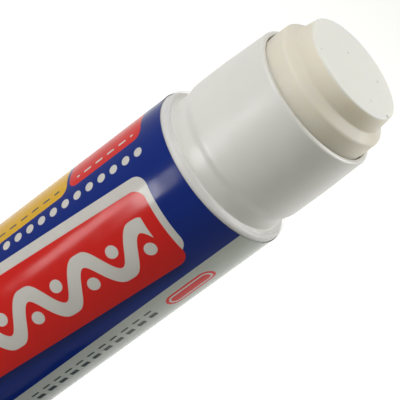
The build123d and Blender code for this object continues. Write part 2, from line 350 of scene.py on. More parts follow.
class Finishes(bpy.types.PropertyGroup):
    """Colours and surface qualities of the materials."""

    print_blue: colour("Print blue", "Deep blue of the film's field", 0.003, 0.0215, 0.205)
    print_red: colour("Print red", "Red of the large panel and the tab", 0.68, 0.016, 0.012)
    print_yellow: colour("Print yellow", "Yellow of the tab", 0.75, 0.42, 0.014)
    print_white: colour("Print white", "White of the print", 0.66, 0.64, 0.61)
    # Painted shade: the strip gets a darker, greener white than the print's white, for the shade
    # that falls on that side of the stick.
    strip_shaded_white: colour("Strip white", "Thinner, cooler white of the strip", 0.52, 0.55, 0.505)
    print_grey: colour("Print grey", "Dark grey of the stitches", 0.06, 0.075, 0.07)
    bare_film: colour("Bare film", "Faint tint of the film's clear margin", 0.84, 0.85, 0.95)
    film_roughness: amount("Film roughness", "Roughness of the glossy film", 0.17)
    film_specular: amount("Film specular", "Strength of the film's gloss", 0.09)
    barrel_white: colour("Barrel white", "White of the barrel", 0.80, 0.79, 0.765)
    natural_white: colour("Natural white", "White of the carrier and the spindle", 0.76, 0.76, 0.73)
    moulding_roughness: amount("Moulding roughness", "Roughness of the white mouldings", 0.36)
    moulding_specular: amount("Moulding specular", "Strength of the white mouldings' gloss", 0.4)
    moulding_depth: length("Moulding depth", "How far light passes into the white mouldings", 0.8)
    moulding_scatter: amount("Moulding scatter", "Share of the light that passes into them", 0.15)
    moulding_glow: colour("Moulding glow", "Tint of that light", 1.0, 0.95, 0.85)
    # Partly painted light: the tip's face takes a cooler white, which is its dry skin, and the side
    # a warmer white, which also stands for painted warm shade.
    glue_white: colour("Glue white", "White of the tip's dry skin", 0.80, 0.795, 0.76)
    glue_shaded_side: colour("Glue warm", "Warmer white of the glue's side", 0.80, 0.75, 0.65)
    # Painted shade: a dark colour laid into the pits and the nick of the tip, where shade falls,
    # with the share of it below.
    pit_shade_colour: colour("Glue dark", "Dust in the pits and in the nick", 0.20, 0.19, 0.17)
    pit_shade: amount("Dust", "Share of dust over the glue in its pits", 0.6)
    glue_roughness: amount("Glue roughness", "Roughness of the waxy glue", 0.48)
    glue_specular: amount("Glue specular", "Strength of the glue's gloss", 0.35)
    glue_depth: length("Glue depth", "How far light passes into the glue", 3.0)
    glue_scatter: amount("Glue scatter", "Share of the light that passes into it", 0.6)
    glue_glow: colour("Glue glow", "Tint of that light", 1.0, 0.85, 0.6)
    moulding_blue: colour("Moulding blue", "Blue of the knob and the cap", 0.010, 0.022, 0.150)
    blue_roughness: amount("Blue roughness", "Roughness of the blue mouldings", 0.28)
    blue_specular: amount("Blue specular", "Strength of the blue mouldings' gloss", 0.28)
    floor_grey: colour("Floor", "Pale colour of the floor", 0.78, 0.78, 0.78)


class Patterns(bpy.types.PropertyGroup):
    """Fine patterns of the materials: features to a metre, ranges, and heights of relief."""

    print_mottle: amount("Print mottle", "Mottle of the print", 250.0)
    print_light: amounts("Print light", "Lightness of the mottled print", 0.975, 1.02)
    film_gloss: gloss("Film gloss", "Patches in the film's gloss", 400.0, 0.85, 1.2)
    film_waver: amount("Film waver", "Waver of the film", 140.0)
    film_relief: length("Film relief", "Height of that waver", 0.12)
    margin_cloud: amount("Margin cloud", "Clouds in the bare margin", 160.0)
    margin_roughness: amounts("Margin roughness", "Roughness of the bare margin", 0.1, 0.16)
    margin_cover: amounts(
        "Margin cover", "Share of what lies behind that the bare margin hides", 0.09, 0.16
    )
    margin_waver: amount("Margin waver", "Waver of the bare margin", 180.0)
    margin_relief: length("Margin relief", "Height of that waver", 0.01)
    white_tint: amount("White tint", "Patches of tint in the white mouldings", 120.0)
    white_darkest: amount("White darkest", "Share of their white that the darkest keep", 0.965)
    white_gloss: gloss("White gloss", "Patches in the white mouldings' gloss", 500.0, 0.9, 1.15)
    white_grain: amount("White grain", "Grain of the white mouldings", 2600.0)
    white_relief: length("White relief", "Height of that grain", 0.004)
    blue_tint: amount("Blue tint", "Patches of tint in the blue mouldings", 180.0)
    blue_lightest: amount("Blue lightest", "How many times lighter the lightest are", 1.18)
    blue_gloss: gloss("Blue gloss", "Patches in the blue mouldings' gloss", 700.0, 0.85, 1.25)
    blue_grain: amount("Blue grain", "Grain of the blue mouldings", 3000.0)
    blue_relief: length("Blue relief", "Height of that grain", 0.005)
    dry_edge: amount("Dry edge", "Patches where the glue's dry skin starts", 220.0)
    dry_noise: amounts("Dry noise", "Range of the noise that they come from", 0.32, 0.68)
    dry_span: amounts("Dry span", "How much drier or wetter they are", -0.2, 0.2)
    glue_gloss: gloss("Glue gloss", "Patches in the glue's gloss", 600.0, 0.9, 1.2)
    glue_skin: amount("Glue skin", "Folds in the glue's skin", 1800.0)
    glue_pores: amount("Glue pores", "Pores in the glue's skin", 900.0)
    pore_width: amount("Pore width", "Width of a pore, as a share of their spacing", 0.16)
    skin_share: amount("Skin share", "Share of the folds in the skin's relief", 0.6)
    pore_share: amount("Pore share", "Share of the pores in it", 0.4)
    glue_relief: length("Glue relief", "Height of that relief", 0.02)
    floor_mottle: amount("Floor mottle", "Mottle of the floor", 6.0)
    floor_light: amounts("Floor light", "Lightness of the mottled floor", 0.98, 1.0)


class StageSettings(bpy.types.PropertyGroup):
    """Camera, lamps and floor."""

    camera: place("Camera", "Place of the camera", 0.0, -386.1, 239.94)
    bearing: angle("Bearing", "Way that the camera looks, from +Y towards +X", 0.306)
    dip: angle("Dip", "How far the camera looks down", 24.367)
    roll: angle("Roll", "Turn of the camera about its line of sight", 53.51)
    lens: camera_length("Lens", "Focal length", 251.05)
    sensor: camera_length("Sensor", "Width of the sensor", 36.0)
    aim: place("Aim", "Point that the lamps look at", 0.0, 0.0, 70)
    key: place("Key lamp", "Place of the main soft lamp", -420, -300, 480)
    key_size: length("Key size", "Width of the main lamp", 320)
    key_power: amount("Key power", "Power of the main lamp in watts", 2.75)
    rim: place("Rim lamp", "Place of the lamp behind the glue, on the right", 250, 200, 330)
    rim_size: length("Rim size", "Width of the lamp behind the glue", 160)
    rim_power: amount("Rim power", "Power of the lamp behind the glue in watts", 1.0)
    streak_card: place("Streak card", "Tall card that the large panel mirrors", -43, -59, 21)
    streak_card_size: lengths("Streak card size", "Size of that card", 11, 26)
    streak_card_glow: amount(
        "Streak card glow", "Power of that card in watts to a square metre", 70.0
    )
    patch_card: place(
        "Patch card", "Low, broad card that the label's top mirrors", -32, -65.5, 36.7
    )
    patch_card_size: lengths("Patch card size", "Size of that card", 23, 5)
    patch_card_glow: amount(
        "Patch card glow", "Power of that card in watts to a square metre", 190.0
    )
    neck_card: place("Neck card", "Card that the neck mirrors", -43, -59, 63)
    neck_card_size: lengths("Neck card size", "Size of that card", 22, 24)
    neck_card_glow: amount("Neck card glow", "Power of that card in watts to a square metre", 16.0)
    ambient: colour("Ambient", "Light from all round", 0.160, 0.160, 0.122)
    floor_size: length("Floor size", "Width of the floor", 4000.0)
    floor_lift: amount("Floor lift", "Light that the floor adds to white for the camera", 0.48)


class StickSettings(bpy.types.PropertyGroup):
    """All settings of the glue stick."""

    barrel: bpy.props.PointerProperty(type=BarrelSizes)
    film: bpy.props.PointerProperty(type=FilmSizes)
    glue: bpy.props.PointerProperty(type=GlueSizes)
    grip: bpy.props.PointerProperty(type=GripSizes)
    knob: bpy.props.PointerProperty(type=KnobSizes)
    cap: bpy.props.PointerProperty(type=CapSizes)
    layout: bpy.props.PointerProperty(type=PrintLayout)
    finish: bpy.props.PointerProperty(type=Finishes)
    pattern: bpy.props.PointerProperty(type=Patterns)
    stage: bpy.props.PointerProperty(type=StageSettings)


# Modelling

def pick(piece):
    """Makes one piece the only selected object, and the active one."""
    bpy.ops.object.select_all(action="DESELECT")
    bpy.context.view_layer.objects.active = piece
    piece.select_set(True)


def added(operator, name, **options):
    """The object that an operator adds, which gets this name."""
    bpy.ops.object.select_all(action="DESELECT")
    operator(**options)
    bpy.context.object.name = name
    return bpy.context.object


@contextmanager
def editing(piece):
    """Holds one piece in edit mode, with nothing selected on it at the start."""
    pick(piece)
    bpy.ops.object.mode_set(mode="EDIT")
    bpy.ops.mesh.select_mode(type="VERT")
    bpy.ops.mesh.select_all(action="DESELECT")
    yield
    bpy.ops.object.mode_set(mode="OBJECT")


def select_vertices(piece, test):
    """Selects only the vertices whose place passes the test, and the faces that they fill."""
    mesh = bmesh.from_edit_mesh(piece.data)
    bpy.ops.mesh.select_all(action="DESELECT")
    for vertex in mesh.verts:
        if test(vertex.co):
            vertex.select_set(True)
    mesh.select_flush_mode()
    bmesh.update_edit_mesh(piece.data)


def select_faces(piece, test):
    """Selects only the faces whose middle passes the test."""
    bpy.ops.mesh.select_mode(type="FACE")
    bpy.ops.mesh.select_all(action="DESELECT")
    mesh = bmesh.from_edit_mesh(piece.data)
    for face in mesh.faces:
        face.select_set(test(face.calc_center_median()))
    bmesh.update_edit_mesh(piece.data)


def draw_outline(piece, corners, closed):
    """Draws a half section in the plane y = 0 from corners of (radius, height, round)."""
    points = [Vector((radius, 0, height)) for radius, height, _ in corners]
    bpy.ops.mesh.select_all(action="SELECT")
    bpy.ops.mesh.merge(type="CENTER")
    bpy.ops.transform.translate(value=points[0])
    for here, there in zip(points, points[1:]):
        bpy.ops.mesh.extrude_region_move(TRANSFORM_OT_translate={"value": there - here})
    if closed:
        ends = (points[0], points[-1])
        select_vertices(piece, lambda at: min((at - end).length for end in ends) < TOUCH)
        bpy.ops.mesh.edge_face_add()
    for number, (_, _, corner_round) in enumerate(corners):
        if not corner_round:
            continue
        point = points[number]
        arriving = point - points[number - 1]
        leaving = points[(number + 1) % len(points)] - point
        turn = arriving.angle(leaving)
        select_vertices(piece, lambda at: (at - point).length < TOUCH)
        bpy.ops.mesh.bevel(
            offset=corner_round * math.tan(turn / 2),
            segments=max(2, round(turn / ROUND_STEP)),
            affect="VERTICES",
        )


def turned(name, corners, steps, axis=0.0, closed=True):
    """A piece turned about an upright axis from the corners of its half section.

    An outline that isn't closed starts and ends on the axis.
    """
    piece = added(bpy.ops.mesh.primitive_plane_add, name, size=MM)
    piece.data.name = name
    moved = [(axis + radius, height, corner_round) for radius, height, corner_round in corners]
    with editing(piece):
        draw_outline(piece, moved, closed)
        bpy.ops.mesh.select_all(action="SELECT")
        bpy.ops.mesh.spin(steps=steps, angle=math.tau, center=(axis, 0, 0), axis=(0, 0, 1))
        bpy.ops.mesh.select_all(action="SELECT")
        bpy.ops.mesh.remove_doubles(threshold=TOUCH)
        bpy.ops.mesh.normals_make_consistent(inside=False)
    return piece


def cut_flutes(piece, grip, axis, radius, foot, top):
    """Draws the flutes of the grip into an outer wall between two heights."""
    step = math.tau / (grip.flutes * grip.steps_per_flute)
    low = foot + grip.run_out - TOUCH
    high = top - grip.run_out + TOUCH
    with editing(piece):
        for offset in range(grip.steps_per_flute // 2):
            sideways = offset * step * radius
            if sideways >= grip.radius:
                break
            depth = grip.depth - grip.radius + math.sqrt(grip.radius**2 - sideways**2)
            if depth <= 0:
                break

            def in_class(at):
                if not low < at.z < high or math.hypot(at.x - axis, at.y) < radius - TOUCH:
                    return False
                number = round(math.atan2(at.y, at.x - axis) / step) % grip.steps_per_flute
                return number in (offset, (grip.steps_per_flute - offset) % grip.steps_per_flute)

            select_vertices(piece, in_class)
            narrower = (radius - depth) / radius
            bpy.ops.transform.resize(value=(narrower, narrower, 1), center_override=(axis, 0, 0))


def flute_rings(grip, radius, foot, top):
    """Corners of a section that let flutes end softly between two heights."""
    heights = (foot, foot + grip.run_out, top - grip.run_out, top)
    return [(radius, height, 0) for height in heights]


def combine(piece, tool, operation):
    """Joins or cuts a piece with a tool piece, which is used up."""
    pick(piece)
    bpy.ops.object.modifier_add(type="BOOLEAN")
    boolean = piece.modifiers[-1]
    boolean.operation = operation
    boolean.solver = "EXACT"
    boolean.object = tool
    bpy.ops.object.modifier_apply(modifier=boolean.name)
    bpy.data.objects.remove(tool, do_unlink=True)


def roughen(piece, test, strength, size):
    """Makes the surface waver gently where a vertex passes the test."""
    chosen = [vertex.index for vertex in piece.data.vertices if test(vertex.co)]
    group = piece.vertex_groups.new(name="wavering")
    group.add(chosen, 1.0, "REPLACE")
    clouds = bpy.data.textures.new(piece.name + "_waver", "CLOUDS")
    clouds.noise_scale = size
    pick(piece)
    bpy.ops.object.modifier_add(type="DISPLACE")
    waver = piece.modifiers[-1]
    waver.texture = clouds
    waver.vertex_group = group.name
    waver.strength = strength
    bpy.ops.object.modifier_apply(modifier=waver.name)
    piece.vertex_groups.clear()


def press(piece, middle, width, depth, into):
    """Presses a small pit into the surface at a place, in a direction."""
    direction = Vector(into).normalized()
    with editing(piece):
        select_faces(piece, lambda at: (at - middle).length < width * PIT_REACH)
        bpy.ops.mesh.subdivide(number_cuts=PIT_CUTS)
        bpy.ops.mesh.select_mode(type="VERT")
        mesh = bmesh.from_edit_mesh(piece.data)
        nearest = min(mesh.verts, key=lambda vertex: (vertex.co - middle).length)
        nearest_place = nearest.co.copy()
        select_vertices(piece, lambda at: (at - nearest_place).length < TOUCH)
        bpy.ops.transform.translate(
            value=direction * depth,
            use_proportional_edit=True,
            proportional_edit_falloff="SMOOTH",
            proportional_size=width / 2,
        )


def set_in_frame(piece, body, node):
    """Smooths a finished piece and sets it on its body, in place of its CAD node.

    The weighting leaves large faces flat, so that only the small rounds between them shade over.
    """
    pick(piece)
    bpy.ops.object.transform_apply(location=True, rotation=True, scale=True)
    bpy.ops.object.shade_smooth_by_angle(angle=SMOOTH_BELOW)
    bpy.ops.object.modifier_add(type="WEIGHTED_NORMAL")
    piece.modifiers[-1].keep_sharp = True
    bpy.ops.object.modifier_apply(modifier=piece.modifiers[-1].name)
    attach(piece, body)
    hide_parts(node)
    low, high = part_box(node)
    for corner in piece.bound_box:
        for axis in range(3):
            if not low[axis] - SPARE < corner[axis] < high[axis] + SPARE:
                raise RuntimeError(piece.name + " leaves the space of its CAD node")


# Shading

class Shading:
    """The nodes of a material or a world, with short calls that add a node and feed its sockets."""

    def __init__(self, owner, output="ShaderNodeOutputMaterial"):
        owner.use_nodes = True
        self.owner = owner
        self.tree = owner.node_tree
        self.tree.nodes.clear()
        self.output = self.add(output)

    @cached_property
    def place(self):
        """The place on a piece, in Object coordinates."""
        return self.add("ShaderNodeTexCoord").outputs["Object"]

    def add(self, kind, inputs=None, **settings):
        """Adds a node, with its settings and what feeds its sockets."""
        node = self.tree.nodes.new(kind)
        for setting, value in settings.items():
            setattr(node, setting, value)
        for socket, value in (inputs or {}).items():
            self.feed(node.inputs[socket], value)
        return node

    def feed(self, socket, value):
        """Links another node's output to a socket, or sets its plain value."""
        if isinstance(value, bpy.types.NodeSocket):
            self.tree.links.new(value, socket)
        else:
            socket.default_value = value

    def maths(self, operation, *values, clamp=False):
        """The result of one sum on numbers."""
        node = self.add("ShaderNodeMath", operation=operation, use_clamp=clamp)
        for socket, value in zip(node.inputs, values):
            self.feed(socket, value)
        return node.outputs["Value"]

    def vector(self, operation, *values, result="Vector"):
        """The result of one sum on vectors."""
        node = self.add("ShaderNodeVectorMath", operation=operation)
        for socket, value in zip(node.inputs, values):
            self.feed(socket, value)
        return node.outputs[result]

    def mix(self, share, first, second):
        """The second colour over the first, by a share."""
        node = self.add("ShaderNodeMix", data_type="RGBA")
        sockets = {socket.identifier: socket for socket in node.inputs}
        for name, value in (("Factor_Float", share), ("A_Color", first), ("B_Color", second)):
            self.feed(sockets[name], value)
        return next(socket for socket in node.outputs if socket.identifier == "Result_Color")

    def noise(self, scale, detail=3.0):
        """A smooth noise between 0 and 1, with this many features to a metre."""
        inputs = {"Vector": self.place, "Scale": scale, "Detail": detail}
        return self.add("ShaderNodeTexNoise", inputs).outputs["Fac"]

    def spread(self, value, low, high, to_low, to_high):
        """A value led from one range to another, and kept inside it."""
        limits = {"From Min": low, "From Max": high, "To Min": to_low, "To Max": to_high}
        return self.add("ShaderNodeMapRange", {"Value": value, **limits}).outputs["Result"]

    def patches(self, scale, low=0.0, high=1.0, detail=3.0):
        """Soft patches between two values, with this many to a metre."""
        return self.spread(self.noise(scale, detail), *NOISE_SPAN, low, high)

    def uneven(self, value, scale, lowest, highest):
        """A value that changes in soft patches between two shares of it."""
        return self.patches(scale, value * lowest, value * highest)

    def scaled(self, rgb, share):
        """A colour made darker or lighter."""
        return self.vector("SCALE", rgb, (0, 0, 0), (0, 0, 0), share)

    def bump(self, height, distance):
        """A fine relief of the surface, this many metres high."""
        inputs = {"Height": height, "Distance": distance, "Strength": 1.0}
        return self.add("ShaderNodeBump", inputs).outputs["Normal"]

    def end(self, shader):
        """Ends the nodes in a shader, and hands their material or world over."""
        self.feed(self.output.inputs["Surface"], shader)
        return self.owner

    def surface(self, **inputs):
        """Ends a material in one shader, whose sockets are named with low lines for spaces."""
        shader = self.add("ShaderNodeBsdfPrincipled")
        for name, value in inputs.items():
            self.feed(shader.inputs[name.replace("_", " ")], value)
        return self.end(shader.outputs["BSDF"])


def new_material(name):
    """The nodes of a new material."""
    return Shading(bpy.data.materials.new(name))


def opaque(rgb):
    """A colour setting as a socket's colour."""
    return (*rgb, 1.0)


class FilmPrint:
    """The film's print, worked out on the film as it would lie unrolled.

    A shape is given as the distance to its edge, which is negative inside it.
    """

    def __init__(self, shading, layout, film, shoulder):
        self.shading = shading
        self.maths = shading.maths
        self.layout = layout
        split = shading.add("ShaderNodeSeparateXYZ", {"Vector": shading.place})
        towards_camera = self.maths("MULTIPLY", split.outputs["Y"], -1.0)
        turn = self.maths("ARCTAN2", split.outputs["X"], towards_camera)
        self.across = self.maths("MULTIPLY", turn, film.radius)
        self.along = self.maths("SUBTRACT", split.outputs["Z"], shoulder)
        behind = self.maths("LESS_THAN", self.across, layout.back_start)
        moved = self.maths("MULTIPLY", behind, layout.back_shift)
        self.twice_across = self.maths("ADD", self.across, moved)

    def cover(self, shape):
        """Share of the ink inside a shape, softly from 1 to 0 over its edge."""
        soft = self.maths("DIVIDE", shape, self.layout.blur)
        return self.maths("SUBTRACT", 0.5, soft, clamp=True)

    def leaning(self, middle_across, middle_along, lean, across=None):
        """Place on the film from a middle, along axes that lean."""
        sideways = self.maths("SUBTRACT", across or self.across, middle_across)
        upwards = self.maths("SUBTRACT", self.along, middle_along)
        if not lean:
            return sideways, upwards
        turned_side = self.maths(
            "SUBTRACT",
            self.maths("MULTIPLY", sideways, math.cos(lean)),
            self.maths("MULTIPLY", upwards, math.sin(lean)),
        )
        turned_up = self.maths(
            "ADD",
            self.maths("MULTIPLY", sideways, math.sin(lean)),
            self.maths("MULTIPLY", upwards, math.cos(lean)),
        )
        return turned_side, turned_up

    def repeated(self, upwards, pitch):
        """Place along a line from the middle of the nearest of its even steps."""
        step = self.maths("FLOORED_MODULO", upwards, pitch)
        return self.maths("SUBTRACT", step, pitch / 2)

    def line(self, distance, width):
        """A line of this width along where a distance is nought."""
        return self.maths("SUBTRACT", self.maths("ABSOLUTE", distance), width / 2)

    def dot(self, sideways, upwards, radius):
        """A round dot."""
        at = self.shading.add("ShaderNodeCombineXYZ", {"X": sideways, "Y": upwards})
        away = self.shading.vector("LENGTH", at.outputs["Vector"], result="Value")
        return self.maths("SUBTRACT", away, radius)

    def rounded(self, sideways, upwards, half_width, half_length, corner):
        """A rectangle with round corners, round a middle."""
        vector = self.shading.vector
        at = self.shading.add("ShaderNodeCombineXYZ", {"X": sideways, "Y": upwards})
        core = (half_width - corner, half_length - corner, 0.0)
        beyond = vector("SUBTRACT", vector("ABSOLUTE", at.outputs["Vector"]), core)
        outside = vector("LENGTH", vector("MAXIMUM", beyond, (0, 0, 0)), result="Value")
        split = self.shading.add("ShaderNodeSeparateXYZ", {"Vector": beyond})
        inside = self.maths("MAXIMUM", split.outputs["X"], split.outputs["Y"])
        signed = self.maths("ADD", outside, self.maths("MINIMUM", inside, 0.0))
        return self.maths("SUBTRACT", signed, corner)

    def panel(self, sides, corner, lean=0.0, shift=(0.0, 0.0), across=None):
        """A printed panel given by its four edges."""
        left, right, foot, top = sides
        middle = ((left + right) / 2 + shift[0], (foot + top) / 2 + shift[1])
        sideways, upwards = self.leaning(*middle, lean, across)
        return self.rounded(sideways, upwards, (right - left) / 2, (top - foot) / 2, corner)

    def large_panel(self, *shift):
        """The large leaning panel, or another one behind it, on the front and on the back."""
        layout = self.layout
        shift = shift or (0.0, 0.0)
        return self.panel(layout.panel, layout.panel_corner, layout.lean, shift, self.twice_across)

    def wavy_band(self, inside):
        """The wavy band with a dot in each of its bends, kept well inside a panel."""
        layout = self.layout
        maths = self.maths
        left, right, foot, top = layout.panel
        middle = ((left + right) / 2 + layout.wave_middle, (foot + top) / 2)
        sideways, upwards = self.leaning(*middle, layout.lean, self.twice_across)
        turns = math.tau / layout.wave_length
        phase = maths("MULTIPLY", upwards, turns)
        swing = maths("MULTIPLY", maths("SINE", phase), layout.wave_swing)
        slope = maths("MULTIPLY", maths("COSINE", phase), layout.wave_swing * turns)
        steepness = maths("SQRT", maths("ADD", maths("MULTIPLY", slope, slope), 1.0))
        off_band = maths("DIVIDE", maths("SUBTRACT", sideways, swing), steepness)
        band = self.line(off_band, layout.wave_width)
        into_bend = maths("MULTIPLY", maths("SIGN", swing), layout.wave_swing / 2)
        dots = self.dot(
            maths("ADD", sideways, into_bend),
            self.repeated(upwards, layout.wave_length / 2),
            layout.dot_radius,
        )
        motif = maths("MINIMUM", band, dots)
        return maths("MAXIMUM", motif, maths("ADD", inside, layout.wave_width))

    def ruled_box(self):
        """The outline of the box on the strip, with ruled lines inside it."""
        layout = self.layout
        left, right, foot, _ = layout.box
        box = self.panel(layout.box, layout.tab_corner)
        _, upwards = self.leaning((left + right) / 2, foot, 0.0)
        rules = self.line(self.repeated(upwards, layout.rule_pitch), layout.rule_width)
        rules = self.maths("MAXIMUM", rules, self.maths("ADD", box, layout.tab_corner))
        return self.maths("MINIMUM", self.line(box, layout.outline), rules)

    def bead_line(self):
        """The leaning line of small beads between the tabs and the large panel."""
        layout = self.layout
        tab_foot = layout.red_tab[2]
        sideways, upwards = self.leaning(layout.bead_line, tab_foot, layout.lean / 2)
        step = self.repeated(upwards, layout.bead_pitch)
        beads = self.dot(sideways, step, layout.bead_radius)
        return self.maths("MAXIMUM", beads, self.line(upwards, layout.bead_pitch * layout.beads))

    def stitches(self, across, foot, top, broader=1.0):
        """An upright line of stitches between two heights."""
        layout = self.layout
        sideways, upwards = self.leaning(across, (foot + top) / 2, 0.0)
        stitch = self.rounded(
            sideways,
            self.repeated(upwards, layout.stitch_pitch),
            layout.stitch_width * broader / 2,
            layout.stitch_length / 2,
            layout.stitch_width / 2,
        )
        return self.maths("MAXIMUM", stitch, self.line(upwards, top - foot))

    def tab_stitches(self, sides):
        """The line of stitches near the right edge of a tab."""
        _, right, foot, top = sides
        corner = self.layout.tab_corner
        return self.stitches(right - corner, foot + corner, top - corner)

    def strip_stitches(self):
        """The thin and the broad line of stitches on the strip, below the pill."""
        layout = self.layout
        left, right, pill_foot, _ = layout.pill
        reach = (layout.panel[2], pill_foot - layout.tab_corner)
        thin = self.stitches(left + layout.outline, *reach)
        broad = self.stitches(right - layout.pill_stitch, *reach, layout.broad_stitch)
        return self.maths("MINIMUM", thin, broad)

    def ink(self, finish):
        """Colour of the print: a blue field with panels, a wavy band, beads and stitches."""
        layout = self.layout
        left, right, _, _ = layout.pill
        pill = self.panel(layout.pill, (right - left) / 2)
        inside_pill = self.maths("ADD", pill, layout.outline * 2)
        red_panel = self.large_panel()
        layers = (
            # The strip's darker white is painted shade.
            (self.panel(layout.strip, layout.blur), finish.strip_shaded_white),
            (pill, finish.print_red),
            (self.line(inside_pill, layout.outline), finish.print_white),
            (self.ruled_box(), finish.print_blue),
            (self.strip_stitches(), finish.print_grey),
            (self.large_panel(layout.under_across, layout.under_along), finish.print_white),
            (red_panel, finish.print_red),
            (self.wavy_band(red_panel), finish.print_white),
            (self.bead_line(), finish.print_white),
            (self.panel(layout.red_tab, layout.tab_corner), finish.print_red),
            (self.tab_stitches(layout.red_tab), finish.print_white),
            (self.panel(layout.yellow_tab, layout.tab_corner), finish.print_yellow),
            (self.tab_stitches(layout.yellow_tab), finish.print_grey),
        )
        shade = self.large_panel(layout.shade, -layout.shade)
        shaded = self.shading.spread(shade, -layout.shade, layout.shade, 1.0, 0.0)
        dark = tuple(channel * layout.shade_depth for channel in finish.print_blue)
        ink = self.shading.mix(shaded, opaque(finish.print_blue), opaque(dark))
        for shape, layer_colour in layers:
            ink = self.shading.mix(self.cover(shape), ink, opaque(layer_colour))
        return ink


def printed_film(settings):
    """Glossy printed film, which wavers a little over the barrel."""
    shading = new_material("printed_film")
    finish = settings.finish
    pattern = settings.pattern
    sheet = FilmPrint(shading, settings.layout, settings.film, settings.barrel.shoulder)
    mottle = shading.patches(pattern.print_mottle, *pattern.print_light)
    return shading.surface(
        Base_Color=shading.scaled(sheet.ink(finish), mottle),
        Roughness=shading.uneven(finish.film_roughness, *pattern.film_gloss),
        Specular_IOR_Level=finish.film_specular,
        Normal=shading.bump(shading.noise(pattern.film_waver, detail=1.0), pattern.film_relief),
    )


def bare_film(settings):
    """Clear film of the bare margin, faintly clouded."""
    shading = new_material("bare_film")
    finish = settings.finish
    pattern = settings.pattern
    cloud = shading.patches(pattern.margin_cloud, detail=1.0)
    waver = shading.noise(pattern.margin_waver, detail=1.0)
    return shading.surface(
        Base_Color=shading.mix(cloud, opaque(finish.barrel_white), opaque(finish.bare_film)),
        Roughness=shading.spread(cloud, 0.0, 1.0, *pattern.margin_roughness),
        Alpha=shading.spread(cloud, 0.0, 1.0, *pattern.margin_cover),
        Normal=shading.bump(waver, pattern.margin_relief),
    )


def satin_moulding(name, white, settings):
    """Satin white moulding with a faint grain and a little light passing into it."""
    shading = new_material(name)
    finish = settings.finish
    pattern = settings.pattern
    darker = tuple(channel * pattern.white_darkest for channel in white)
    tint = shading.patches(pattern.white_tint)
    return shading.surface(
        Base_Color=shading.mix(tint, opaque(darker), opaque(white)),
        Roughness=shading.uneven(finish.moulding_roughness, *pattern.white_gloss),
        Subsurface_Weight=finish.moulding_scatter,
        Subsurface_Radius=tuple(finish.moulding_glow),
        Subsurface_Scale=finish.moulding_depth,
        Specular_IOR_Level=finish.moulding_specular,
        Normal=shading.bump(shading.noise(pattern.white_grain, detail=2.0), pattern.white_relief),
    )


def blue_moulding(settings):
    """Glossy deep blue moulding with a fine grain."""
    shading = new_material("blue_moulding")
    finish = settings.finish
    pattern = settings.pattern
    blue = finish.moulding_blue
    lighter = tuple(channel * pattern.blue_lightest for channel in blue)
    tint = shading.patches(pattern.blue_tint)
    return shading.surface(
        Base_Color=shading.mix(tint, opaque(blue), opaque(lighter)),
        Roughness=shading.uneven(finish.blue_roughness, *pattern.blue_gloss),
        Specular_IOR_Level=finish.blue_specular,
        Normal=shading.bump(shading.noise(pattern.blue_grain, detail=2.0), pattern.blue_relief),
    )


def tip_pits(size):
    """Places of the pits in the tip's face."""
    return [Vector((across * MM, along * MM, size.top)) for across, along in TIP_PITS]


def glue_wax(settings):
    """Waxy off-white glue, slightly translucent, with a dry, finely pitted skin on its tip, painted
    shade in its pits and nick, and painted warm shade on its side.
    """
    shading = new_material("glue_wax")
    finish = settings.finish
    pattern = settings.pattern
    size = settings.glue
    height = shading.add("ShaderNodeSeparateXYZ", {"Vector": shading.place}).outputs["Z"]
    # Partly painted light: the flat tip, with its dry skin, takes the cooler white; the side takes
    # the warmer white that also holds painted warm shade.
    tip_edge = (size.top - size.tip_round * 2, size.top - size.tip_round / 2)
    on_tip = shading.spread(height, *tip_edge, 0.0, 1.0)
    cloud = shading.noise(pattern.dry_edge, detail=4.0)
    cloud = shading.spread(cloud, *pattern.dry_noise, *pattern.dry_span)
    dry = shading.maths("ADD", on_tip, cloud, clamp=True)
    wax = shading.mix(dry, opaque(finish.glue_shaded_side), opaque(finish.glue_white))
    # Painted shade: the wax darkens towards the middle of each pit and of the nick.
    spots = [(pit, size.pit_width / 2) for pit in tip_pits(size)]
    spots.append((Vector(size.nick), size.nick_width / 2))
    for spot, reach in spots:
        away = shading.vector("DISTANCE", shading.place, tuple(spot), result="Value")
        pit_shade = shading.spread(away, reach / 4, reach, finish.pit_shade, 0.0)
        wax = shading.mix(pit_shade, wax, opaque(finish.pit_shade_colour))
    folds = shading.noise(pattern.glue_skin, detail=6.0)
    pores = {"Vector": shading.place, "Scale": pattern.glue_pores, "Randomness": 1.0}
    from_pore = shading.add("ShaderNodeTexVoronoi", pores).outputs["Distance"]
    pitted = shading.spread(from_pore, 0.0, pattern.pore_width, 0.0, 1.0)
    relief = shading.maths(
        "ADD",
        shading.maths("MULTIPLY", folds, pattern.skin_share),
        shading.maths("MULTIPLY", pitted, pattern.pore_share),
    )
    return shading.surface(
        Base_Color=wax,
        Roughness=shading.uneven(finish.glue_roughness, *pattern.glue_gloss),
        Subsurface_Weight=finish.glue_scatter,
        Subsurface_Radius=tuple(finish.glue_glow),
        Subsurface_Scale=finish.glue_depth,
        Specular_IOR_Level=finish.glue_specular,
        Normal=shading.bump(relief, pattern.glue_relief),
    )


def seen_directly(shading):
    """Whether a light path looks straight, by reflection or through glass."""
    path = shading.add("ShaderNodeLightPath").outputs
    seen = shading.maths("MAXIMUM", path["Is Camera Ray"], path["Is Glossy Ray"])
    return shading.maths("MAXIMUM", seen, path["Is Transmission Ray"])


